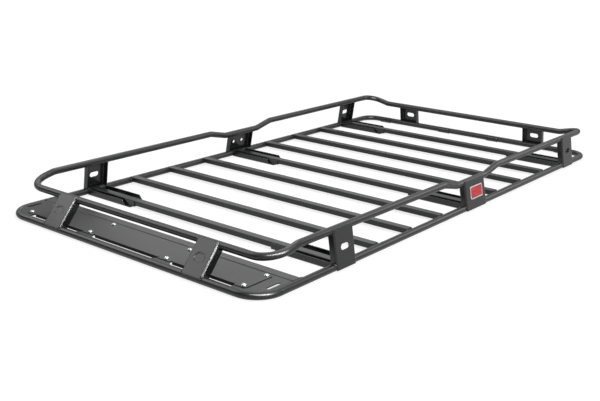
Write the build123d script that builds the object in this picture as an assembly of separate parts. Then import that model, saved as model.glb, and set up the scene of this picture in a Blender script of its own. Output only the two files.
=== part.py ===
from build123d import *
import math
import os

# Roof basket for a vehicle, in millimetres.
# X runs across the vehicle, +Y to its rear and +Z up. The origin is under the middle of the
# basket, on the level of the surface that the six mounting channels rest on.

# Main frame, measured between tube axes
frame_width = 1212.0
frame_length = 2220.0
tube_diameter = 25.0
tube_wall = 2.0
lower_front_bend = 88.0
lower_rear_bend = 64.0
weld_stub = 4.0           # straight length past a bend, where the next tube is welded on
seat_gap = 0.15           # left all round a tube by every piece that is coped onto it

# Upper rail, its heights measured from the lower tube's axis
rail_height = 115.0
rail_dip_height = 94.0
rail_front_height = 91.0
rail_rear_height = 90.0
rail_inset = 17.5         # each side run stands this much nearer the middle than the lower rail
rail_setback = 75.0       # the front run stands this far behind the lower front tube
rail_rear_inset = 12.5    # the rear run stands this far ahead of the lower rear tube
rail_front_bend = 83.0
rail_rear_bend = 68.0
rail_knee_bend = 60.0
rail_front_ramp = 113.0   # from the front run back to the full height
rail_rear_ramp = 109.0    # from the side run in to the low rear run
rail_dip_flat = 205.0
rail_dip_ramp = 90.0

# Floor slats, rectangular tube
slat_count = 9
slat_first = 370.0        # behind the lower front tube's axis
slat_last = 232.0         # ahead of the lower rear tube's axis
slat_width = 30.0
slat_height = 20.0
slat_wall = 1.5
slat_corner = 3.0
slat_rise = 3.0           # slat tops above the lower tube's top
slat_overlap = 8.5        # how far a slat's end reaches over the lower rail

# Stanchions, folded from sheet
sheet = 3.0
side_post_width = 98.0
middle_post_width = 144.0
middle_post_offset = 20.0  # stanchion centre behind its slat's centre
post_channel_gap = 2.5    # front and rear side stanchions stand this far ahead of a channel
rear_post_width = 100.0
rear_post_spacing = 694.0
front_post_width = 88.0
front_post_spacing = 683.0
post_flange = 21.0
front_post_flange = 28.0
front_post_tail = 3.0
front_post_trim = 1.5     # the front posts' flanges are cut this clear of the fairing
post_fold = 3.0           # inside radius of the folds
post_tail = 10.0          # web below the lower tube's axis
post_head = 5.0           # web above the upper tube's axis
post_slot_length = 42.0
post_slot_width = 20.0
badge_hole_diameter = 14.0
badge_hole_spacing = 52.0
emboss_length = 42.0
emboss_width = 32.0
emboss_depth = 1.2

# Mounting channels under the ends of three slats
channel_width = 86.0
channel_height = 23.0
channel_fold = 1.5        # inside radius of the folds
channel_drop = 0.5        # channel bottoms below the lower tubes
channel_offset = 16.5     # channel centre behind its slat's centre
channel_reach = 250.0     # from the side rail's axis to the inboard end of the bottom plate
channel_scallop = 38.0    # length of the hollowed wall ends
channel_end_gap = 9.0     # from the side rail's axis to the plate's outer end
yoke_length = 55.0
yoke_overhang = 18.0      # yoke past the inboard end of the bottom plate
yoke_setback = 1.0        # the yoke's foot stands this far in from the plate's inboard edge
foot_slot_width = 9.0
foot_slot_length = 50.0
foot_slot_spacing = 100.0

# Front fairing
fairing_end_gap = 75.0    # from a side rail's axis to the fairing's end
fairing_front = 27.0      # front fold behind the front tube's axis
fairing_rear = 148.0
fairing_tab_front = 21.0
fairing_thickness = 2.0
fairing_top = 12.0        # above the lower tube's axis
fairing_corner = 14.0
fairing_lip = 11.0        # height of the folded edges
fairing_relief = 4.0      # side of the notch between a folded edge and the lug beside it
bolt_hole_diameter = 9.0
inner_bolt_spacing = 374.0
outer_bolt_inset = 92.0   # from a side rail's axis
front_bolt_row = 35.0
rear_bolt_row = 134.0
crossbar_front = 153.0
crossbar_width = 37.0
crossbar_height = 20.0
crossbar_wall = 2.0
lug_width = 56.0
lug_foot_width = 108.0    # front lugs, where they meet the front tube
lug_depth = 26.0          # past the bolt hole, under the fairing
gusset_width = 118.0      # from a side rail's axis to the gusset's inboard edge
gusset_slot_length = 58.0
gusset_slot_width = 12.0
gusset_slot_inset = 26.0  # from the side rail's axis
gusset_slot_start = 60.0  # behind the front tube's axis
seam = 0.3                # between sheets that meet edge to edge

# Pads on the lower rear tube
pad_length = 62.0
pad_thickness = 2.5
pad_inner_spacing = 270.0
pad_outer_inset = 115.0   # from a side rail's axis to an outer pad's middle
pad_wrap = 62.0           # degrees to each side of the inboard direction

cut_margin = 1.0          # how far a cutting shape runs past the edge it cuts

# Derived places
tube_radius = tube_diameter / 2
cope_radius = tube_radius + seat_gap
axis_z = tube_radius + channel_drop
half_width = frame_width / 2
rail_half_width = half_width - rail_inset
slat_pitch = (frame_length - slat_first - slat_last) / (slat_count - 1)
slat_top = tube_radius + slat_rise
slat_middle = (slat_count - 1) // 2
side_post_offset = channel_offset - channel_width / 2 - post_channel_gap - sheet + side_post_width / 2


def at(x, y, z):
    """A point given from the lower front tube's axis, in the basket's own frame."""
    return Vector(x, y - frame_length / 2, z + axis_z)


def slat_y(index):
    return slat_first + slat_pitch * index


def rod(path, radius):
    """A solid round bar along a path."""
    return sweep(Plane(origin=path @ 0, z_dir=path % 0) * Circle(radius), path=path)


def tube(path):
    """A round tube along a path, with its real wall."""
    ring = Circle(tube_radius) - Circle(tube_radius - tube_wall)
    return sweep(Plane(origin=path @ 0, z_dir=path % 0) * ring, path=path)


def bar_y(x, z, radius):
    """A round bar along Y that a piece is coped to."""
    return rod(Line(at(x, -frame_length, z), at(x, 2 * frame_length, z)), radius)


# Lower frame

front_joint = lower_front_bend + weld_stub
rear_joint = frame_length - lower_rear_bend - weld_stub


def lower_front_path():
    return FilletPolyline(
        at(-half_width, front_joint, 0),
        at(-half_width, 0, 0),
        at(half_width, 0, 0),
        at(half_width, front_joint, 0),
        radius=lower_front_bend,
    )


def lower_rear_path():
    return FilletPolyline(
        at(-half_width, rear_joint, 0),
        at(-half_width, frame_length, 0),
        at(half_width, frame_length, 0),
        at(half_width, rear_joint, 0),
        radius=lower_rear_bend,
    )


def lower_side_path(side):
    x = side * half_width
    return Line(at(x, front_joint, 0), at(x, rear_joint, 0))


# Upper rail

rail_front_rise = rail_height - rail_front_height
rail_joint_share = (rail_front_bend + weld_stub) / math.hypot(rail_front_ramp, rail_front_rise)
rail_joint_y = rail_setback + rail_joint_share * rail_front_ramp
rail_joint_z = rail_front_height + rail_joint_share * rail_front_rise
rail_rear_line = frame_length - rail_rear_inset
rail_rear_joint = rail_rear_line - rail_rear_bend - weld_stub
rail_dip_middle = slat_y(slat_middle) + middle_post_offset


def upper_front_path():
    return FilletPolyline(
        at(-rail_half_width, rail_joint_y, rail_joint_z),
        at(-rail_half_width, rail_setback, rail_front_height),
        at(rail_half_width, rail_setback, rail_front_height),
        at(rail_half_width, rail_joint_y, rail_joint_z),
        radius=rail_front_bend,
    )


def upper_side_path(side):
    x = side * rail_half_width
    dip_start = rail_dip_middle - rail_dip_flat / 2
    dip_end = rail_dip_middle + rail_dip_flat / 2
    return FilletPolyline(
        at(x, rail_joint_y, rail_joint_z),
        at(x, rail_setback + rail_front_ramp, rail_height),
        at(x, dip_start - rail_dip_ramp, rail_height),
        at(x, dip_start, rail_dip_height),
        at(x, dip_end, rail_dip_height),
        at(x, dip_end + rail_dip_ramp, rail_height),
        at(x, rail_rear_joint, rail_height),
        radius=rail_knee_bend,
    )


def upper_rear_path():
    low_x = rail_half_width - rail_rear_ramp
    return FilletPolyline(
        at(-rail_half_width, rail_rear_joint, rail_height),
        at(-rail_half_width, rail_rear_line, rail_height),
        at(-low_x, rail_rear_line, rail_rear_height),
        at(low_x, rail_rear_line, rail_rear_height),
        at(rail_half_width, rail_rear_line, rail_height),
        at(rail_half_width, rail_rear_joint, rail_height),
        radius=rail_rear_bend,
    )


# Slats

def slat(index):
    """One floor slat, coped over both side rails."""
    y = slat_y(index)
    end = half_width - slat_overlap
    outer = RectangleRounded(slat_width, slat_height, slat_corner)
    inner = RectangleRounded(
        slat_width - 2 * slat_wall,
        slat_height - 2 * slat_wall,
        slat_corner - slat_wall,
    )
    section = Plane(origin=at(-end, y, slat_top - slat_height / 2), x_dir=(0, 1, 0), z_dir=(1, 0, 0))
    body = extrude(section * (outer - inner), amount=2 * end)
    for side in (-1, 1):
        body -= bar_y(side * half_width, 0, cope_radius)
    return body


# Stanchions

def folded_post(width, inset, height, flange=post_flange, tail=post_tail, holes=False, embossed=False):
    """A stanchion between two tubes that run along Y, its web on the +X side of both.

    The lower tube's axis passes through the origin and the upper one's through (-inset, height).
    """
    length = math.hypot(inset, height)
    along = Vector(-inset / length, 0, height / length)
    outward = Vector(height / length, 0, inset / length)
    depth = flange + sheet
    base = Plane(origin=along * -tail, x_dir=(0, -1, 0), z_dir=along)
    web_face = cope_radius
    outer = Pos(0, web_face + sheet - depth / 2) * Rectangle(width, depth)
    outer = fillet(outer.vertices().sort_by(Axis.Y)[-2:], post_fold + sheet)
    inner = Pos(0, web_face - depth) * Rectangle(width - 2 * sheet, 2 * depth)
    inner = fillet(inner.vertices().sort_by(Axis.Y)[-2:], post_fold)
    body = extrude(base * (outer - inner), amount=tail + length + post_head)
    across = Plane(origin=(0, 0, 0), x_dir=(0, -1, 0), z_dir=along)
    beyond = Pos(0, web_face - depth) * Rectangle(2 * width, 2 * depth)
    body -= extrude(across * beyond, amount=-2 * tail)
    above = Plane(origin=along * length, x_dir=(0, -1, 0), z_dir=along)
    body -= extrude(above * beyond, amount=2 * post_head)
    for foot in (Vector(0, 0, 0), along * length):
        body -= rod(Line(foot - Vector(0, width, 0), foot + Vector(0, width, 0)), cope_radius)
    middle = along * (length / 2)
    face = Plane(origin=middle + outward * (web_face + sheet), x_dir=(0, 1, 0), z_dir=outward)
    if holes:
        for end in (-1, 1):
            hole = Pos(end * badge_hole_spacing / 2, 0) * Circle(badge_hole_diameter / 2)
            body -= extrude(face * hole, amount=-2 * sheet)
    elif embossed:
        body -= extrude(face * SlotOverall(emboss_length, emboss_width), amount=-emboss_depth)
    else:
        body -= extrude(face * SlotOverall(post_slot_length, post_slot_width), amount=-2 * sheet)
    return body


def side_post(side, y, width, height, **features):
    turn = Rot(0, 0, 0) if side > 0 else Rot(0, 0, 180)
    foot = at(side * half_width, y, 0)
    return Pos(foot.X, foot.Y, foot.Z) * turn * folded_post(width, rail_inset, height, **features)


def front_post(side):
    x = side * front_post_spacing / 2
    foot = at(x, 0, 0)
    post = folded_post(
        front_post_width,
        rail_setback,
        rail_front_height,
        flange=front_post_flange,
        tail=front_post_tail,
        embossed=True,
    )
    post = Pos(foot.X, foot.Y, foot.Z) * Rot(0, 0, -90) * post
    room = block(x - front_post_width, x + front_post_width, fairing_front - front_post_trim, fairing_rear)
    return post - plan_plate(room, fairing_top + front_post_trim, fairing_lip + 2 * front_post_trim)


def rear_post(side):
    foot = at(side * rear_post_spacing / 2, frame_length, 0)
    post = folded_post(rear_post_width, rail_rear_inset, rail_rear_height)
    return Pos(foot.X, foot.Y, foot.Z) * Rot(0, 0, 90) * post


# Mounting channels

channel_floor = -axis_z                       # underside of the plate
channel_gap_end = channel_offset + channel_width / 2 - sheet
foot_slot_offset = (slat_width / 2 + channel_gap_end) / 2   # slots run midway in the rear gap


def channel_profile():
    outer = Pos(0, channel_height / 2) * Rectangle(channel_width, channel_height)
    outer = fillet(outer.vertices().sort_by(Axis.Y)[:2], channel_fold + sheet)
    inner = Pos(0, sheet + channel_height / 2) * Rectangle(channel_width - 2 * sheet, channel_height)
    inner = fillet(inner.vertices().sort_by(Axis.Y)[:2], channel_fold)
    return outer - inner


def scallop():
    """The region that is cut from the inboard end of a channel's walls, as a face in XZ."""
    inner = channel_reach
    outer = channel_reach - channel_scallop
    low = channel_floor + sheet
    high = channel_floor + channel_height + cut_margin
    end = inner + cut_margin
    curve = ThreePointArc((-inner, low), (-(inner + 2 * outer) / 3, low + (high - low) / 4), (-outer, high))
    top = Polyline((-outer, high), (-end, high), (-end, low), (-inner, low))
    return make_face(curve + top)


def left_channel(y):
    """The channel under the left end of the slat at y: a U of sheet, its yoke and its foot slots."""
    middle = y + channel_offset
    section = Plane(
        origin=at(half_width - channel_reach, middle, channel_floor), x_dir=(0, 1, 0), z_dir=(1, 0, 0)
    )
    body = extrude(section * channel_profile(), amount=channel_reach - channel_end_gap)
    upright = Plane(origin=at(half_width, middle, 0), x_dir=(1, 0, 0), z_dir=(0, -1, 0))
    body -= extrude(upright * scallop(), amount=channel_width, both=True)
    body -= bar_y(half_width, 0, cope_radius)
    body += yoke(y)
    for step in (-1, 1):
        x = half_width - (channel_reach + channel_end_gap) / 2 + step * foot_slot_spacing / 2
        hole = Plane(origin=at(x, y + foot_slot_offset, channel_floor), z_dir=(0, 0, 1))
        body -= extrude(hole * SlotOverall(foot_slot_length, foot_slot_width), amount=sheet)
    return body


def yoke(y):
    """The folded saddle at a channel's inboard end that holds the slat above the plate."""
    clear_width = slat_width + 2 * seat_gap
    under = slat_top - slat_height - seat_gap
    foot = channel_floor + sheet / 2
    ear_top = slat_top - slat_corner
    start = half_width - channel_reach - yoke_overhang
    ears = Pos(0, (foot + ear_top) / 2) * Rectangle(clear_width + 2 * sheet, ear_top - foot)
    room = Pos(0, under + slat_height / 2) * Rectangle(clear_width, slat_height)
    section = Plane(origin=at(start, y, 0), x_dir=(0, 1, 0), z_dir=(1, 0, 0))
    body = extrude(section * (ears - room), amount=yoke_length)
    corner = Plane(origin=at(start, y, foot), z_dir=(0, 0, 1))
    free = Rectangle(2 * (yoke_overhang + yoke_setback), 2 * clear_width)
    return body - extrude(corner * free, amount=under - sheet - foot)


# Front fairing

under_fairing = fairing_top - fairing_thickness
fairing_half = half_width - fairing_end_gap
gusset_inner = half_width - gusset_width


def plan_plate(face, top, thickness):
    """A flat plate from a face drawn in plan, its upper side at the given height."""
    return extrude(Plane(origin=at(0, 0, top), z_dir=(0, 0, 1)) * face, amount=-thickness)


def block(x0, x1, y0, y1):
    """A rectangle in plan between two corners."""
    return Pos((x0 + x1) / 2, (y0 + y1) / 2) * Rectangle(x1 - x0, y1 - y0)


def bolt_places():
    return [
        (side * x, row)
        for x in (inner_bolt_spacing / 2, half_width - outer_bolt_inset)
        for side in (-1, 1)
        for row in (front_bolt_row, rear_bolt_row)
    ]


def drill(body, top, thickness):
    for x, y in bolt_places():
        hole = Pos(x, y) * Circle(bolt_hole_diameter / 2)
        body -= plan_plate(hole, top, thickness)
    return body


def lip_spans():
    """The stretches of the fairing's long edges that are folded down, between the lugs."""
    inner = inner_bolt_spacing / 2
    reach = lug_width / 2 + fairing_relief
    outer = gusset_inner - fairing_relief
    return [(-outer, -inner - reach), (-inner + reach, inner - reach), (inner + reach, outer)]


def fairing_panel():
    outline = block(-fairing_half, fairing_half, fairing_front, fairing_rear)
    for side in (-1, 1):
        inner = side * inner_bolt_spacing / 2
        outline += block(inner - lug_width / 2, inner + lug_width / 2, fairing_tab_front, fairing_rear)
        ends = sorted((side * gusset_inner, side * fairing_half))
        outline += block(ends[0], ends[1], fairing_tab_front, fairing_rear)
    corners = [v for v in outline.vertices() if abs(abs(v.X) - fairing_half) < 0.01]
    outline = fillet(corners, fairing_corner)
    body = plan_plate(outline, fairing_top, fairing_thickness)
    for x0, x1 in lip_spans():
        for x in (x0 - fairing_relief, x1):
            notch = block(x, x + fairing_relief, fairing_front - cut_margin, fairing_front + fairing_relief)
            body -= plan_plate(notch, fairing_top, fairing_thickness)
        front = block(x0, x1, fairing_front, fairing_front + fairing_thickness)
        rear = block(x0, x1, fairing_rear - fairing_thickness, fairing_rear)
        body += plan_plate(front + rear, fairing_top, fairing_lip)
    return drill(body, fairing_top, fairing_thickness)


def corner_gusset(side):
    plan = block(gusset_inner, half_width, 0, crossbar_front - seam)
    corner = [v for v in plan.vertices() if v.X > gusset_inner + 1 and v.Y < 1]
    plan = fillet(corner, lower_front_bend)
    slot_x = half_width - gusset_slot_inset
    slot_y = gusset_slot_start + gusset_slot_length / 2
    plan -= Pos(slot_x, slot_y) * Rot(0, 0, 90) * SlotOverall(gusset_slot_length, gusset_slot_width)
    if side < 0:
        plan = mirror(plan, about=Plane.YZ)
    body = plan_plate(plan, under_fairing, sheet)
    body -= rod(lower_front_path(), cope_radius)
    body -= bar_y(side * half_width, 0, cope_radius)
    return drill(body, under_fairing, sheet)


def front_lug(side):
    x = side * inner_bolt_spacing / 2
    far = front_bolt_row + lug_depth
    shoulder = fairing_tab_front
    plan = make_face(Polyline(
        (x - lug_foot_width / 2, 0),
        (x + lug_foot_width / 2, 0),
        (x + lug_width / 2, shoulder),
        (x + lug_width / 2, far),
        (x - lug_width / 2, far),
        (x - lug_width / 2, shoulder),
        close=True,
    ))
    body = plan_plate(plan, under_fairing, sheet) - rod(lower_front_path(), cope_radius)
    return drill(body, under_fairing, sheet)


def rear_lug(side):
    x = side * inner_bolt_spacing / 2
    plan = block(x - lug_width / 2, x + lug_width / 2, rear_bolt_row - lug_depth, crossbar_front)
    return drill(plan_plate(plan, under_fairing, sheet), under_fairing, sheet)


def fairing_crossbar():
    outer = Rectangle(crossbar_width, crossbar_height)
    outer = fillet(outer.vertices(), 2 * crossbar_wall)
    inner = Rectangle(crossbar_width - 2 * crossbar_wall, crossbar_height - 2 * crossbar_wall)
    inner = fillet(inner.vertices(), crossbar_wall)
    start = at(-half_width, crossbar_front + crossbar_width / 2, fairing_top - crossbar_height / 2)
    section = Plane(origin=start, x_dir=(0, 1, 0), z_dir=(1, 0, 0))
    body = extrude(section * (outer - inner), amount=frame_width)
    for side in (-1, 1):
        body -= bar_y(side * half_width, 0, cope_radius)
    return body


# Pads on the lower rear tube

def rear_pad(x):
    ring = Circle(cope_radius + pad_thickness) - Circle(cope_radius)
    reach = 3 * tube_diameter
    rise = reach * math.tan(math.radians(pad_wrap))
    wedge = make_face(Polyline((0, 0), (-reach, -rise), (-reach, rise), close=True))
    start = at(x - pad_length / 2, frame_length, 0)
    return extrude(Plane(origin=start, x_dir=(0, 1, 0), z_dir=(1, 0, 0)) * (ring & wedge), amount=pad_length)


# Assembly

side_names = {1: "left", -1: "right"}
post_slats = {"front": 0, "middle": slat_middle, "rear": slat_count - 1}


def build_nodes():
    nodes = {
        "lower_front_tube": tube(lower_front_path()),
        "lower_rear_tube": tube(lower_rear_path()),
        "upper_front_tube": tube(upper_front_path()),
        "upper_rear_tube": tube(upper_rear_path()),
        "fairing_panel": fairing_panel(),
        "fairing_crossbar": fairing_crossbar(),
    }
    for index in range(slat_count):
        nodes[f"slat_{index + 1}"] = slat(index)
    channels = {row: left_channel(slat_y(index)) for row, index in post_slats.items()}
    for side, name in side_names.items():
        nodes[f"lower_{name}_rail"] = tube(lower_side_path(side))
        nodes[f"upper_{name}_rail"] = tube(upper_side_path(side))
        nodes[f"front_{name}_post"] = front_post(side)
        nodes[f"rear_{name}_post"] = rear_post(side)
        nodes[f"{name}_corner_gusset"] = corner_gusset(side)
        nodes[f"{name}_front_lug"] = front_lug(side)
        nodes[f"{name}_rear_lug"] = rear_lug(side)
        nodes[f"{name}_inner_pad"] = rear_pad(side * pad_inner_spacing / 2)
        nodes[f"{name}_outer_pad"] = rear_pad(side * (half_width - pad_outer_inset))
        front_y = slat_y(post_slats["front"]) + side_post_offset
        rear_y = slat_y(post_slats["rear"]) + side_post_offset
        nodes[f"{name}_front_stanchion"] = side_post(side, front_y, side_post_width, rail_height)
        nodes[f"{name}_middle_stanchion"] = side_post(
            side, rail_dip_middle, middle_post_width, rail_dip_height, holes=True
        )
        nodes[f"{name}_rear_stanchion"] = side_post(side, rear_y, side_post_width, rail_height)
        for row, channel in channels.items():
            placed = channel if side > 0 else mirror(channel, about=Plane.YZ)
            nodes[f"{name}_{row}_channel"] = placed
    return nodes


os.makedirs("parts", exist_ok=True)
for node_name, shape in build_nodes().items():
    export_step(shape, f"parts/{node_name}.step")
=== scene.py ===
# Looks for the roof basket: powder coat, fairing bolts, weld beads, blank plate and studio.
import bpy
import bmesh
import math
from mathutils import Matrix, Quaternion, Vector, noise


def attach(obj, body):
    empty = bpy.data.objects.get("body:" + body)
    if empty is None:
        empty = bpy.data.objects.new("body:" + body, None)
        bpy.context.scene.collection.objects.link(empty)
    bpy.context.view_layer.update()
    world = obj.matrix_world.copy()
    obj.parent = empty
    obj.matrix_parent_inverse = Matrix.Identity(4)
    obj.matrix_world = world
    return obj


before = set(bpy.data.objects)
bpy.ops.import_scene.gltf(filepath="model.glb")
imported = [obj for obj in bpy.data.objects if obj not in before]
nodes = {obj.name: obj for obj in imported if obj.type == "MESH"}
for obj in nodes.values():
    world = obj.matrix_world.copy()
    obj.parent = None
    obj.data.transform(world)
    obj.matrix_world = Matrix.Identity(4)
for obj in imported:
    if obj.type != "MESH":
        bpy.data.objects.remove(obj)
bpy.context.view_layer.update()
scene = bpy.context.scene

# All sizes are in metres, in the basket's own frame. These repeat the solids' sizes.
basket = {
    "frontAxis": -1.110,      # lower front tube's axis
    "axisHeight": 0.013,      # lower tubes' axes above the floor
    "length": 2.220,          # between the axes of the lower front and rear tubes
    "halfWidth": 0.606,       # from the middle to the axes of the lower side rails
    "tubeRadius": 0.0125,
    "sheet": 0.003,
    "seatGap": 0.00015,       # between a tube and the sheet coped round it
    "slatFirst": 0.370,       # behind the lower front tube
    "slatPitch": 0.20225,
    "slatCount": 9,
    "slatWidth": 0.030,
    "slatTop": 0.0155,        # above the lower tubes' axes
    "slatHeight": 0.020,
    "slatEnd": 0.0085,        # from a slat's end to the rail's axis
}

crossbar = {
    "middle": 0.1715,         # behind the lower front tube
    "width": 0.037,
    "low": -0.007,            # lower and upper end of its weld, from the rail's axis
    "high": 0.0117,
}

# Folded posts. Inset and height lead from the lower tube's axis to the upper one's.
posts = {
    "side": {"inset": 0.0175, "height": 0.115, "width": 0.098, "flange": 0.021},
    "middle": {"inset": 0.0175, "height": 0.094, "width": 0.144, "flange": 0.021},
    "front": {"inset": 0.075, "height": 0.091, "width": 0.088, "flange": 0.028, "tail": 0.003},
    "rear": {"inset": 0.0125, "height": 0.090, "width": 0.100, "flange": 0.021},
    "head": 0.005,            # web above the upper tube's axis
    "sideOffset": 0.017,      # middle of a side post behind the slat's
    "middleOffset": 0.020,
    "frontX": 0.3415,
    "rearX": 0.347,
}


def rowPoint(x, y, z):
    # y from the lower front tube, z from the lower tubes' axes
    return Vector((x, basket["frontAxis"] + y, basket["axisHeight"] + z))


def slatY(index):
    return basket["slatFirst"] + basket["slatPitch"] * index


def toLinear(hexColour):
    # sRGB hex to the linear values that sockets take
    values = [int(hexColour[i:i + 2], 16) / 255 for i in (1, 3, 5)]
    linear = [v / 12.92 if v <= 0.04045 else ((v + 0.055) / 1.055) ** 2.4 for v in values]
    return (*linear, 1.0)


def addNode(tree, kind, settings=None, values=None, links=None):
    node = tree.nodes.new(kind)
    for key, value in (settings or {}).items():
        setattr(node, key, value)
    for key, value in (values or {}).items():
        node.inputs[key].default_value = value
    for key, source in (links or {}).items():
        tree.links.new(source, node.inputs[key])
    return node


def newMaterial(name):
    material = bpy.data.materials.new(name)
    material.use_nodes = True
    material.node_tree.nodes.clear()
    return material, material.node_tree


def setRamp(node, look):
    # from the look's dark colour to its light one
    for element, position, key in zip(node.color_ramp.elements, look["spread"], ("dark", "light")):
        element.position = position
        element.color = toLinear(look[key])


# Materials

def powderCoat(name, look):
    # Polyester powder baked on steel: satin black with a fine orange peel. Its outer edges and
    # folds are smoother, and their colour is paler: a painted highlight along them.
    material, tree = newMaterial(name)
    place = addNode(tree, "ShaderNodeTexCoord").outputs["Object"]
    patches = addNode(tree, "ShaderNodeTexNoise", values={"Scale": 1 / look["patchSize"], "Detail": 3.0},
                      links={"Vector": place}).outputs["Fac"]
    tone = addNode(tree, "ShaderNodeValToRGB", links={"Fac": patches})
    setRamp(tone, look)
    # occlusion inside the sheet finds the outer edges and folds, where the paler colour paints a highlight
    inside = addNode(tree, "ShaderNodeAmbientOcclusion",
                     {"inside": True, "only_local": True, "samples": 6},
                     {"Distance": look["foldReach"]})
    maskStart, maskFull = look["foldRange"]
    foldMask = addNode(tree, "ShaderNodeMapRange", values={"From Min": maskStart, "From Max": maskFull},
                     links={"Value": inside.outputs["AO"]}).outputs["Result"]
    edge = addNode(tree, "ShaderNodeMath", {"operation": "MULTIPLY"}, {1: look["paintedHighlightShare"]}, {0: foldMask})
    # the paler edge colour mixed in here is a painted highlight on edges and folds
    colour = addNode(tree, "ShaderNodeMix", {"data_type": "RGBA"}, {7: toLinear(look["edge"])},
                     {"Factor": edge.outputs["Value"], 6: tone.outputs["Color"]})
    smoothest, roughest = look["roughness"]
    film = addNode(tree, "ShaderNodeMapRange", values={"To Min": smoothest, "To Max": roughest},
                   links={"Value": patches})
    rough = addNode(tree, "ShaderNodeMapRange", values={"To Max": look["foldRoughness"]},
                    links={"Value": foldMask, "To Min": film.outputs["Result"]})
    # orange peel is about 1.5 mm from crest to crest; a coarser wave is added so that it shows
    peel = addNode(tree, "ShaderNodeTexNoise", values={"Scale": 1 / look["peelSize"], "Detail": 2.0},
                   links={"Vector": place})
    wave = addNode(tree, "ShaderNodeTexNoise", values={"Scale": 1 / look["waveSize"], "Detail": 1.0},
                   links={"Vector": place})
    relief = addNode(tree, "ShaderNodeMath", {"operation": "MULTIPLY_ADD"}, {1: look["waveShare"]},
                     {0: wave.outputs["Fac"], 2: peel.outputs["Fac"]})
    rounded = addNode(tree, "ShaderNodeBevel", {"samples": 4}, {"Radius": look["edgeRadius"]})
    bump = addNode(tree, "ShaderNodeBump", values={"Strength": look["bump"], "Distance": look["depth"]},
                   links={"Height": relief.outputs["Value"], "Normal": rounded.outputs["Normal"]})
    shader = addNode(tree, "ShaderNodeBsdfPrincipled",
                     values={"Metallic": 0.0, "IOR": 1.5, "Specular IOR Level": look["specular"]},
                     links={"Base Color": colour.outputs[2], "Roughness": rough.outputs["Result"],
                            "Normal": bump.outputs["Normal"]})
    addNode(tree, "ShaderNodeOutputMaterial", links={"Surface": shader.outputs["BSDF"]})
    return material


coatBase = {
    "dark": "#141516",
    "light": "#1d1e1f",
    "spread": (0.3, 0.7),     # where the noise turns from dark to light
    # paler colour on edges and folds: a painted highlight
    "edge": "#4a4c4f",
    "paintedHighlightShare": 0.5,
    "edgeRadius": 0.0012,     # sharp edges catch the light as if this round
    "foldReach": 0.0007,
    "foldRange": (0.95, 0.55), # openness where the fold mask starts and where it is full
    "foldRoughness": 0.16,
    "specular": 0.5,
    "roughness": (0.27, 0.35),
    "patchSize": 0.160,
    "peelSize": 0.0015,
    "waveSize": 0.007,
    "waveShare": 0.6,
    "bump": 0.35,
    "depth": 0.0001,
}
slatCoat = {**coatBase, "dark": "#1a1b1c", "light": "#232425", "specular": 0.45, "roughness": (0.30, 0.38)}
sheetCoat = {
    **coatBase,
    "dark": "#151617",
    "light": "#1e1f20",
    # paler colour on edges and folds: a painted highlight
    "edge": "#55585b",
    "paintedHighlightShare": 0.6,
    "edgeRadius": 0.0030,
    "foldReach": 0.0011,
    "roughness": (0.20, 0.26),
}
postCoat = {**sheetCoat, "edgeRadius": 0.0070}
panelCoat = {**coatBase, "dark": "#161718", "light": "#1f2021", "waveSize": 0.012, "specular": 0.35}

coats = {
    "tube": powderCoat("satin_powder_coat_on_tube", coatBase),
    "slat": powderCoat("satin_powder_coat_on_slat", slatCoat),
    "sheet": powderCoat("satin_powder_coat_on_folded_sheet", sheetCoat),
    "post": powderCoat("satin_powder_coat_on_front_posts", postCoat),
    "panel": powderCoat("satin_powder_coat_on_flat_sheet", panelCoat),
}


def zincPlate(name, look):
    # Bright zinc on bolts and washers: pale, faintly blue, with soft cloudy patches.
    material, tree = newMaterial(name)
    place = addNode(tree, "ShaderNodeTexCoord").outputs["Object"]
    clouds = addNode(tree, "ShaderNodeTexNoise", values={"Scale": 1 / look["cloudSize"], "Detail": 4.0},
                     links={"Vector": place}).outputs["Fac"]
    tone = addNode(tree, "ShaderNodeValToRGB", links={"Fac": clouds})
    setRamp(tone, look)
    smoothest, roughest = look["roughness"]
    rough = addNode(tree, "ShaderNodeMapRange", values={"To Min": smoothest, "To Max": roughest},
                    links={"Value": clouds})
    grain = addNode(tree, "ShaderNodeTexNoise", values={"Scale": 1 / look["grainSize"], "Detail": 2.0},
                    links={"Vector": place})
    bump = addNode(tree, "ShaderNodeBump", values={"Strength": look["bump"], "Distance": look["depth"]},
                   links={"Height": grain.outputs["Fac"]})
    shader = addNode(tree, "ShaderNodeBsdfPrincipled", values={"Metallic": 1.0},
                     links={"Base Color": tone.outputs["Color"], "Roughness": rough.outputs["Result"],
                            "Normal": bump.outputs["Normal"]})
    addNode(tree, "ShaderNodeOutputMaterial", links={"Surface": shader.outputs["BSDF"]})
    return material


zinc = zincPlate("bright_zinc_plated_steel", {
    "dark": "#b4b7ba",
    "light": "#d8dadc",
    "spread": (0.35, 0.65),
    "roughness": (0.28, 0.42),
    "cloudSize": 0.006,
    "grainSize": 0.0006,
    "bump": 0.2,
    "depth": 0.00003,
})


def enamel(name, look):
    # Stoved enamel on a pressed plate: smooth and glossy, with a little flow in the film.
    material, tree = newMaterial(name)
    place = addNode(tree, "ShaderNodeTexCoord").outputs["Object"]
    flow = addNode(tree, "ShaderNodeTexNoise", values={"Scale": 1 / look["flowSize"], "Detail": 2.0},
                   links={"Vector": place}).outputs["Fac"]
    tone = addNode(tree, "ShaderNodeValToRGB", links={"Fac": flow})
    setRamp(tone, look)
    smoothest, roughest = look["roughness"]
    rough = addNode(tree, "ShaderNodeMapRange", values={"To Min": smoothest, "To Max": roughest},
                    links={"Value": flow})
    bump = addNode(tree, "ShaderNodeBump", values={"Strength": look["bump"], "Distance": look["depth"]},
                   links={"Height": flow})
    shader = addNode(tree, "ShaderNodeBsdfPrincipled",
                     links={"Base Color": tone.outputs["Color"], "Roughness": rough.outputs["Result"],
                            "Normal": bump.outputs["Normal"]})
    addNode(tree, "ShaderNodeOutputMaterial", links={"Surface": shader.outputs["BSDF"]})
    return material


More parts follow.
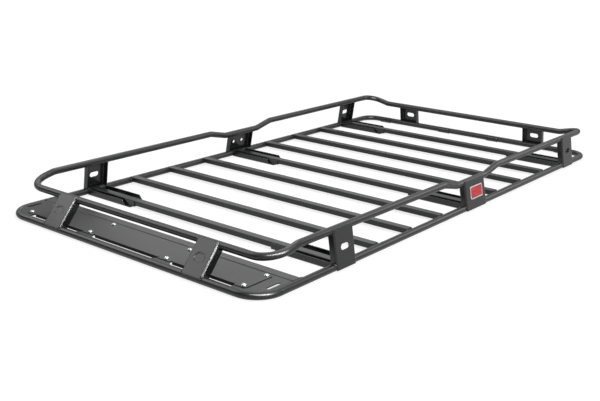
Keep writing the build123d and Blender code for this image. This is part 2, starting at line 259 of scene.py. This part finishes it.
enamelBase = {
    "spread": (0.3, 0.7),
    "roughness": (0.22, 0.32),
    "flowSize": 0.015,
    "bump": 0.15,
    "depth": 0.0001,
}
redEnamel = enamel("red_stoved_enamel", {**enamelBase, "dark": "#c01a24", "light": "#d2222d"})
whiteEnamel = enamel("white_stoved_enamel", {**enamelBase, "dark": "#e2e2df", "light": "#f0f0ee"})


def coatFor(name):
    if "tube" in name or "rail" in name:
        return coats["tube"]
    if "slat" in name or "crossbar" in name:
        return coats["slat"]
    if "panel" in name or "gusset" in name or "lug" in name:
        return coats["panel"]
    if name.startswith("front"):
        return coats["post"]
    return coats["sheet"]


for name, node in nodes.items():
    node.data.materials.clear()
    node.data.materials.append(coatFor(name))
print("coated", len(nodes), "CAD nodes")


# New pieces

sharpAngle = math.radians(35)      # faces that meet at more than this keep a sharp edge


def finishPiece(name, bm, materials):
    mesh = bpy.data.meshes.new(name)
    bm.to_mesh(mesh)
    bm.free()
    for material in materials:
        mesh.materials.append(material)
    mesh.shade_smooth()
    mesh.set_sharp_from_angle(angle=sharpAngle)
    piece = bpy.data.objects.new(name, mesh)
    scene.collection.objects.link(piece)
    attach(piece, "root")
    return piece


def vertsIn(geom):
    return [g for g in geom if isinstance(g, bmesh.types.BMVert)]


def edgesIn(geom):
    return [g for g in geom if isinstance(g, bmesh.types.BMEdge)]


# M8 button head on a wide washer, with a flanged nut below.
bolt = {
    "columns": (0.187, 0.514),     # on both sides of the middle
    "rows": (0.035, 0.134),        # behind the lower front tube
    "top": 0.012,                  # fairing's upper side above the tube's axis
    "grip": 0.005,                 # panel and lug or gusset together
    "chamfer": 0.0004,
    "washerRadius": 0.0082,
    "washerThickness": 0.0020,
    "headRadius": 0.0070,
    "headHeight": 0.0038,
    "headFoot": 0.9,               # share of the radius that meets the washer
    "headSide": 0.0006,
    "domeTurns": (0.35, 0.7, 1.0),     # radians up the dome
    "socketRadius": 0.0029,        # corner of a 5 mm hexagon
    "socketLand": 1.15,            # flat round the socket, as a share of its radius
    "socketDepth": 0.0026,
    "socketTurn": 0.83,            # every socket stands at its own angle
    "shankRadius": 0.0040,
    "shankEnd": 0.0085,            # how far the thread passes the underside
    "shankHidden": 0.001,          # its closed end inside the sheet
    "nutRadius": 0.0075,           # corner of a 13 mm hexagon
    "nutHeight": 0.0065,
    "flangeRadius": 0.0090,
    "flangeEdge": 0.0010,
    "flangeNeck": 0.0062,
    "flangeHeight": 0.0022,
    "corners": 6,                  # of the socket and the nut
    "steps": 32,
    "mergeDistance": 1e-6,
}


def spun(bm, profile):
    # turns a profile of (radius, height) about Z
    verts = [bm.verts.new((r, 0, z)) for r, z in profile]
    edges = [bm.edges.new(pair) for pair in zip(verts, verts[1:])]
    bmesh.ops.spin(bm, geom=verts + edges, axis=(0, 0, 1), cent=(0, 0, 0),
                   steps=bolt["steps"], angle=math.tau, use_merge=True)


def boltHead(bm):
    # washer and dome; the dome's rim is bridged to a hexagon, which goes down as a blind hole
    thick, wide, edge = bolt["washerThickness"], bolt["washerRadius"], bolt["chamfer"]
    head, side, socket = bolt["headRadius"], bolt["headSide"], bolt["socketRadius"]
    top = thick + bolt["headHeight"]
    foot = (head * bolt["headFoot"], thick)
    spun(bm, [(0, 0), (wide - edge, 0), (wide, edge), (wide, thick - edge), (wide - edge, thick), foot])
    dome = [(head * math.cos(a), thick + side + (bolt["headHeight"] - side) * math.sin(a))
            for a in bolt["domeTurns"]]
    spun(bm, [foot, (head, thick + side), *dome, (socket * bolt["socketLand"], top)])
    rim = [e for e in bm.edges
           if e.is_boundary and all(abs(v.co.z - top) < bolt["mergeDistance"] for v in e.verts)]
    ring = bmesh.ops.create_circle(bm, segments=bolt["corners"], radius=socket,
                                   matrix=Matrix.Translation((0, 0, top)))
    hexagon = [e for e in bm.edges if all(v in ring["verts"] for v in e.verts)]
    bmesh.ops.bridge_loops(bm, edges=rim + hexagon)
    walls = bmesh.ops.extrude_edge_only(bm, edges=hexagon)["geom"]
    bmesh.ops.translate(bm, verts=vertsIn(walls), vec=(0, 0, -bolt["socketDepth"]))
    bmesh.ops.contextual_create(bm, geom=edgesIn(walls))


def boltTail(bm):
    # thread end, the nut's flange and the nut, below the sheet
    under, edge = -bolt["grip"], bolt["chamfer"]
    end = under - bolt["shankEnd"]
    shank, flange = bolt["shankRadius"], bolt["flangeRadius"]
    hidden = under + bolt["shankHidden"]
    neck = under - bolt["flangeHeight"]
    spun(bm, [(0, end), (shank - edge, end), (shank, end + edge), (shank, hidden), (0, hidden)])
    spun(bm, [(0, under), (flange, under), (flange, under - bolt["flangeEdge"]),
              (bolt["flangeNeck"], neck), (0, neck)])
    middle = under - bolt["flangeEdge"] - bolt["nutHeight"] / 2
    nut = bmesh.ops.create_cone(bm, cap_ends=True, segments=bolt["corners"], depth=bolt["nutHeight"],
                                radius1=bolt["nutRadius"], radius2=bolt["nutRadius"],
                                matrix=Matrix.Translation((0, 0, middle)))["verts"]
    nutEdges = [e for e in bm.edges if all(v in nut for v in e.verts)]
    bmesh.ops.bevel(bm, geom=nutEdges, offset=edge, affect="EDGES", segments=1, profile=0.5, material=-1)


def fairingBolts():
    bm = bmesh.new()
    boltHead(bm)
    boltTail(bm)
    bmesh.ops.remove_doubles(bm, verts=bm.verts, dist=bolt["mergeDistance"])
    bmesh.ops.recalc_face_normals(bm, faces=bm.faces)
    master = list(bm.verts) + list(bm.edges) + list(bm.faces)
    spots = [(side * x, y) for x in bolt["columns"] for side in (-1, 1) for y in bolt["rows"]]
    for index, (x, y) in enumerate(spots):
        verts = vertsIn(bmesh.ops.duplicate(bm, geom=master)["geom"])
        turn = Matrix.Rotation(index * bolt["socketTurn"], 3, "Z")
        bmesh.ops.rotate(bm, verts=verts, cent=(0, 0, 0), matrix=turn)
        bmesh.ops.translate(bm, verts=verts, vec=rowPoint(x, y, bolt["top"]))
    bmesh.ops.delete(bm, geom=vertsIn(master), context="VERTS")
    print("bolts", len(spots))
    return finishPiece("fairing_bolts", bm, [zinc])


fairingBolts()


plate = {
    "size": (0.086, 0.048),
    "middle": (1.203, 0.051),      # behind the lower front tube, above the lower tubes' axes
    "corner": 0.0055,
    "cornerSteps": 5,
    "thickness": 0.0016,
    "rim": 0.0035,
    "raised": 0.0005,
}


def blankPlate():
    # a plain enamelled plate on the leaning web of the left middle stanchion
    bm = bmesh.new()
    wide, tall = plate["size"]
    grid = bmesh.ops.create_grid(bm, x_segments=1, y_segments=1, size=0.5)["verts"]
    bmesh.ops.scale(bm, verts=grid, vec=(wide, tall, 1))
    bmesh.ops.bevel(bm, geom=bm.verts[:], offset=plate["corner"], affect="VERTICES",
                    segments=plate["cornerSteps"], profile=0.5, material=-1)
    raised = bmesh.ops.extrude_face_region(bm, geom=bm.faces[:])["geom"]
    bmesh.ops.translate(bm, verts=vertsIn(raised), vec=(0, 0, plate["thickness"]))
    top = max(bm.faces, key=lambda f: f.calc_center_median().z)
    bmesh.ops.inset_region(bm, faces=[top], thickness=plate["rim"], depth=0)
    upper = [f for f in bm.faces if f.calc_center_median().z > plate["thickness"] / 2]
    field = max(upper, key=lambda f: f.calc_area())
    step = bmesh.ops.inset_region(bm, faces=[field], thickness=plate["raised"], depth=plate["raised"])
    for face in [field, *step["faces"]]:
        face.material_index = 1
    bmesh.ops.recalc_face_normals(bm, faces=bm.faces)
    # it stands up, faces +X and leans in with the web
    y, z = plate["middle"]
    lean = math.atan2(posts["middle"]["inset"], posts["middle"]["height"])
    up = Vector((-math.sin(lean), 0, math.cos(lean)))
    out = Vector((math.cos(lean), 0, math.sin(lean)))
    web = basket["tubeRadius"] + basket["seatGap"] + basket["sheet"]
    spot = rowPoint(basket["halfWidth"], y, 0) + up * z / math.cos(lean) + out * web
    turn = Matrix((Vector((0, 1, 0)), up, out)).transposed().to_4x4()
    bmesh.ops.transform(bm, matrix=Matrix.Translation(spot) @ turn, verts=bm.verts)
    return finishPiece("blank_plate", bm, [whiteEnamel, redEnamel])


blankPlate()
print("plate")


# Weld beads

weld = {
    "radius": 0.0021,              # half the width of a bead
    "roundness": 2,
    "ripple": 0.0017,              # from crest to crest
    "rippleDepth": 0.00016,
    "step": 0.00085,
    "barPhase": 1.3,               # how far the ripples shift from one bar or post to the next
    "postPhase": 2,
    "lift": 0.0003,                # the bead's middle stands this far proud of the joint
    "tip": 0.04,                   # keeps a bead's end from closing to a point
    "wander": 0.00025,
    "wanderTurns": 90,             # per metre
    "wanderSeed": 5,
    "arcStart": 0.12,              # radians from the web
    "arcSteps": 12,
    "webClear": 0.006,             # bead stops this far from the web's corners
    "webLift": 0.0002,
    "webSize": 0.72,
    "ringSize": 0.55,              # low crown of the tubes' butt welds
    "ringSink": 0.0009,
    "ringSteps": 48,
    "fillSize": 1.3,               # wide bead that shuts a slat's end
    "fillHeight": 0.0117,
    "fillOut": 0.0004,
    "cornerClear": 0.001,          # beads stop this far inside a slat's corners
    "mergeDistance": 1e-7,
    "rounding": 1e-9,
}


def resample(path, step):
    # points at an even spacing along a polyline
    lengths = [(b - a).length for a, b in zip(path, path[1:])]
    count = max(2, round(sum(lengths) / step))
    points = []
    for index in range(count + 1):
        rest = sum(lengths) * index / count
        for a, b, length in zip(path, path[1:], lengths):
            if rest <= length + weld["rounding"]:
                points.append(a.lerp(b, min(1, rest / length)))
                break
            rest -= length
        else:
            points.append(path[-1].copy())
    return points


def addBead(beads, path, phase=0.0, closed=False, size=1.0):
    # one spline along the joint; its radius swells at every ripple, and its line wanders a little
    points = resample(path, weld["step"])
    if closed:
        points = points[:-1]
    spline = beads.splines.new("POLY")
    spline.points.add(len(points) - 1)
    spline.use_cyclic_u = closed
    crest = weld["rippleDepth"] / weld["radius"]
    for index, point in enumerate(points):
        swell = 1 + crest * math.sin(math.tau * index * weld["step"] / weld["ripple"] + phase)
        if not closed:
            # both ends run out to a rounded point
            nearEnd = min(index, len(points) - 1 - index) * weld["step"] / weld["radius"]
            swell *= math.sqrt(max(weld["tip"], 1 - (1 - min(1, nearEnd)) ** 2))
        drift = noise.noise_vector(point * weld["wanderTurns"]) * weld["wander"] * size
        spline.points[index].co = (*(point + drift), 1)
        spline.points[index].radius = swell * size


def newBeads(name):
    beads = bpy.data.curves.new(name, "CURVE")
    beads.dimensions = "3D"
    beads.bevel_depth = weld["radius"]
    beads.bevel_resolution = weld["roundness"]
    beads.use_fill_caps = True
    return beads


def finishBeads(name, beads):
    # the curve's tubes become one mesh
    carrier = bpy.data.objects.new(name, beads)
    bm = bmesh.new()
    bm.from_mesh(bpy.data.meshes.new_from_object(carrier))
    bpy.data.objects.remove(carrier)
    bmesh.ops.remove_doubles(bm, verts=bm.verts, dist=weld["mergeDistance"])
    bmesh.ops.recalc_face_normals(bm, faces=bm.faces)
    return finishPiece(name, bm, [coats["tube"]])


def anglesOver(low, high, count=weld["arcSteps"]):
    return [low + (high - low) * k / count for k in range(count + 1)]


def endBead(beads, y, half, lowZ, highZ, side, phase):
    # round a bar's end that is coped over a lower side rail: up, across and down again
    r = basket["tubeRadius"] + weld["lift"]
    arc = [(basket["halfWidth"] - r * math.cos(a), r * math.sin(a))
           for a in anglesOver(math.asin(lowZ / r), math.asin(highZ / r))]
    path = [rowPoint(side * x, y - half, z) for x, z in arc]
    path += [rowPoint(side * x, y + half, z) for x, z in reversed(arc)]
    addBead(beads, path, phase)


def barBeads():
    beads = newBeads("bar_weld_beads")
    half = basket["slatWidth"] / 2 + weld["lift"]
    low = basket["slatTop"] - basket["slatHeight"] + weld["cornerClear"]
    high = math.sqrt(basket["tubeRadius"] ** 2 - basket["slatEnd"] ** 2)
    reach = half - weld["cornerClear"]
    for side in (-1, 1):
        x = side * (basket["halfWidth"] - basket["slatEnd"] + weld["fillOut"])
        for index in range(basket["slatCount"]):
            y = slatY(index)
            endBead(beads, y, half, low, high, side, index * weld["barPhase"] + side)
            # the open end above the rail is welded shut
            ends = [rowPoint(x, y + along, weld["fillHeight"]) for along in (-reach, reach)]
            addBead(beads, ends, index, size=weld["fillSize"])
        endBead(beads, crossbar["middle"], crossbar["width"] / 2 + weld["lift"],
                crossbar["low"], crossbar["high"], side, side)
    return finishBeads("bar_weld_beads", beads)


def postBeads(beads, foot, outward, look, phase):
    # arcs where both flanges are coped round the tubes, and the web's free ends
    reach = math.hypot(look["inset"], look["height"])
    along = (Vector((0, 0, look["height"])) - outward * look["inset"]) / reach
    out = (outward * look["height"] + Vector((0, 0, look["inset"]))) / reach
    across = Vector((0, 0, 1)).cross(outward)
    r = basket["tubeRadius"] + weld["lift"]
    behind = look["flange"] - basket["tubeRadius"] - basket["seatGap"]
    last = math.pi - math.acos(min(1, behind / r))
    for side in (-1, 1):
        edge = across * side * (look["width"] / 2 + weld["lift"])
        for start, turn in ((0, 1), (reach, -1)):
            path = [foot + edge + along * (start + turn * r * math.sin(a)) + out * r * math.cos(a)
                    for a in anglesOver(weld["arcStart"], last)]
            addBead(beads, path, phase + side + turn)
    half = across * (look["width"] / 2 - weld["webClear"])
    ends = [reach + posts["head"] + weld["lift"]]
    if "tail" in look:
        ends.append(-look["tail"] - weld["lift"])
    for end in ends:
        line = foot + along * end + out * (basket["tubeRadius"] + weld["webLift"])
        addBead(beads, [line - half, line + half], phase, size=weld["webSize"])


def allPostBeads():
    beads = newBeads("post_weld_beads")
    last = basket["slatCount"] - 1
    for side in (-1, 1):
        rail = side * basket["halfWidth"]
        outwards = Vector((side, 0, 0))
        feet = [
            ("side", rail, slatY(0) + posts["sideOffset"], outwards),
            ("middle", rail, slatY(last / 2) + posts["middleOffset"], outwards),
            ("side", rail, slatY(last) + posts["sideOffset"], outwards),
            ("front", side * posts["frontX"], 0, Vector((0, -1, 0))),
            ("rear", side * posts["rearX"], basket["length"], Vector((0, 1, 0))),
        ]
        for index, (kind, x, y, outward) in enumerate(feet):
            phase = side + index * weld["postPhase"]
            postBeads(beads, rowPoint(x, y, 0), outward, posts[kind], phase)
    return finishBeads("post_weld_beads", beads)


# Butt welds of the bent tubes: place on the left side, and the tube's direction there.
buttWelds = [
    ((0.606, 0.092, 0), (0, 1, 0)),
    ((0.606, 2.152, 0), (0, 1, 0)),
    ((0.5885, 0.1601, 0.1091), (0, 113, 24)),
    ((0.5885, 2.1355, 0.1145), (0, 1, 0)),
]


def tubeBeads():
    # low, nearly flush rings where the bent tubes meet the straight ones
    beads = newBeads("tube_weld_beads")
    r = basket["tubeRadius"] - weld["ringSink"]
    across = Vector((1, 0, 0))
    for (x, y, z), direction in buttWelds:
        up = Vector(direction).normalized().cross(across)
        for side in (-1, 1):
            middle = rowPoint(side * x, y, z)
            path = [middle + across * math.cos(a) * r + up * math.sin(a) * r
                    for a in anglesOver(0, math.tau, weld["ringSteps"])]
            addBead(beads, path, y, closed=True, size=weld["ringSize"])
    return finishBeads("tube_weld_beads", beads)


noise.seed_set(weld["wanderSeed"])
barBeads()
allPostBeads()
tubeBeads()
print("weld beads")


# Camera, light and floor

camera = {
    "place": (2.20508, -2.87998, 1.05191),
    "azimuth": 39.407,             # degrees
    "elevation": 17.052,
    "roll": 0.739,
    "sensor": 36,                  # millimetres
    "lens": 55.30668,
    "shift": (-0.00139, -0.00684),
    "farthest": 50,
}


def addCamera():
    data = bpy.data.cameras.new("photoCamera")
    data.sensor_width = camera["sensor"]
    data.lens = camera["lens"]
    data.shift_x, data.shift_y = camera["shift"]
    data.clip_end = camera["farthest"]
    rig = bpy.data.objects.new("photoCamera", data)
    turn = Matrix.Rotation(math.radians(camera["azimuth"]), 4, "Z")
    turn = turn @ Matrix.Rotation(math.radians(90 - camera["elevation"]), 4, "X")
    turn = turn @ Matrix.Rotation(math.radians(camera["roll"]), 4, "Z")
    rig.matrix_world = Matrix.Translation(camera["place"]) @ turn
    scene.collection.objects.link(rig)
    scene.camera = rig


studio = {
    "floorSize": 40,
    "floorDepth": 0.0005,          # just below the basket
    "floorColour": "#8c8c8c",
    "floorGlow": 0.80,             # share of white that the floor shows where no light falls
    "floorSheen": 0.62,            # the same in reflections
    "fadeStart": 1.3,
    "fadeEnd": 4.0,
    "worldColour": "#ffffff",
    "worldStrength": 0.15,
    "frontLevel": 0.15,            # how bright reflections find the room in front of the basket
    "lowLevel": 0.20,              # the same near the horizon
    "frontEdge": (-0.5, 0.1),      # directions over which the room brightens
    "lowEdge": (0.22, 0.36),
}

lamps = {
    "overheadSoftbox": {"place": (0.2, 0.2, 3.2), "aim": (0, 0.1, 0), "size": (2.6, 2.6), "watts": 24},
    "frontLeftSoftbox": {"place": (-2.4, -2.2, 2.55), "aim": (0, -0.8, 0), "size": (2.8, 2.5), "watts": 56},
    "leftSoftbox": {"place": (-1.05, 0.95, 2.77), "aim": (0.3, 1.1, 0.1), "size": (1.3, 1.3), "watts": 15},
    "rearLeftSoftbox": {"place": (-2.4, 2.2, 1.6), "aim": (0, -0.3, 0), "size": (2.4, 1.0), "watts": 6},
    "rightSoftbox": {"place": (3.0, -1.2, 2.2), "aim": (0.3, 0, 0), "size": (1.6, 1.6), "watts": 80},
    "rearSoftbox": {"place": (2.23, 2.93, 1.57), "aim": (0.6, 0.1, 0), "size": (1.7, 2.1), "watts": 26},
    # a strip turned to follow the folds; it only draws highlights
    "rightStrip": {"place": (2.50, -2.12, 1.86), "aim": (0.34, -1.1, 0.06), "size": (3.2, 0.55),
                   "watts": 290, "roll": -34, "glossOnly": True},
}


def seenDirectly(tree):
    # 1 for camera, mirror and glass rays, which see the white backdrop
    path = addNode(tree, "ShaderNodeLightPath").outputs
    both = addNode(tree, "ShaderNodeMath", {"operation": "MAXIMUM"},
                   links={0: path["Is Camera Ray"], 1: path["Is Glossy Ray"]})
    every = addNode(tree, "ShaderNodeMath", {"operation": "MAXIMUM"},
                    links={0: both.outputs["Value"], 1: path["Is Transmission Ray"]})
    return every.outputs["Value"], path["Is Camera Ray"]


def addWorld():
    # the white backdrop stands behind the basket; reflections find a dimmer room in front of it
    world = bpy.data.worlds.new("paleStudio")
    world.use_nodes = True
    scene.world = world
    tree = world.node_tree
    tree.nodes.clear()
    seen, byCamera = seenDirectly(tree)
    direction = addNode(tree, "ShaderNodeTexCoord").outputs["Generated"]
    parts = addNode(tree, "ShaderNodeSeparateXYZ", links={"Vector": direction})
    front, low = studio["frontEdge"], studio["lowEdge"]
    backdrop = addNode(tree, "ShaderNodeMapRange",
                       values={"From Min": front[0], "From Max": front[1], "To Min": studio["frontLevel"]},
                       links={"Value": parts.outputs["Y"]})
    height = addNode(tree, "ShaderNodeMapRange",
                     values={"From Min": low[0], "From Max": low[1], "To Min": studio["lowLevel"]},
                     links={"Value": parts.outputs["Z"]})
    room = addNode(tree, "ShaderNodeMath", {"operation": "MULTIPLY"},
                   links={0: backdrop.outputs["Result"], 1: height.outputs["Result"]})
    whole = addNode(tree, "ShaderNodeMapRange", links={"Value": byCamera, "To Min": room.outputs["Value"]})
    level = addNode(tree, "ShaderNodeMapRange", values={"To Min": studio["worldStrength"]},
                    links={"Value": seen, "To Max": whole.outputs["Result"]})
    back = addNode(tree, "ShaderNodeBackground", values={"Color": toLinear(studio["worldColour"])},
                   links={"Strength": level.outputs["Result"]})
    addNode(tree, "ShaderNodeOutputWorld", links={"Surface": back.outputs["Background"]})


def paleFloor():
    # matt pale floor; its glow makes up for the lamps, which fade with distance
    material, tree = newMaterial("pale_floor")
    seen, byCamera = seenDirectly(tree)
    place = addNode(tree, "ShaderNodeTexCoord").outputs["Object"]
    away = addNode(tree, "ShaderNodeVectorMath", {"operation": "LENGTH"}, links={0: place})
    glowAt = addNode(tree, "ShaderNodeMapRange",
                     values={"From Min": studio["fadeStart"], "From Max": studio["fadeEnd"],
                             "To Min": studio["floorGlow"]},
                     links={"Value": away.outputs["Value"]})
    share = addNode(tree, "ShaderNodeMapRange", values={"To Min": studio["floorSheen"]},
                    links={"Value": byCamera, "To Max": glowAt.outputs["Result"]})
    level = addNode(tree, "ShaderNodeMath", {"operation": "MULTIPLY"},
                    links={0: seen, 1: share.outputs["Result"]})
    glow = addNode(tree, "ShaderNodeEmission", links={"Strength": level.outputs["Value"]})
    matt = addNode(tree, "ShaderNodeBsdfDiffuse", values={"Color": toLinear(studio["floorColour"])})
    both = addNode(tree, "ShaderNodeAddShader",
                   links={0: glow.outputs["Emission"], 1: matt.outputs["BSDF"]})
    addNode(tree, "ShaderNodeOutputMaterial", links={"Surface": both.outputs["Shader"]})
    return material


def addFloor():
    bm = bmesh.new()
    bmesh.ops.create_grid(bm, x_segments=1, y_segments=1, size=studio["floorSize"] / 2)
    mesh = bpy.data.meshes.new("floor")
    bm.to_mesh(mesh)
    bm.free()
    mesh.materials.append(paleFloor())
    floor = bpy.data.objects.new("floor", mesh)
    floor.location.z = -studio["floorDepth"]
    scene.collection.objects.link(floor)


def addLamp(name, look):
    data = bpy.data.lights.new(name, "AREA")
    data.shape = "RECTANGLE"
    data.size, data.size_y = look["size"]
    data.energy = look["watts"]
    lamp = bpy.data.objects.new(name, data)
    lamp.location = look["place"]
    turn = (Vector(look["aim"]) - lamp.location).to_track_quat("-Z", "Y")
    roll = Quaternion((0, 0, 1), math.radians(look.get("roll", 0)))
    lamp.rotation_euler = (turn @ roll).to_euler()
    lamp.visible_diffuse = not look.get("glossOnly", False)
    scene.collection.objects.link(lamp)


addCamera()
addWorld()
addFloor()
for name, look in lamps.items():
    addLamp(name, look)
scene.view_settings.view_transform = "Standard"
print("studio")
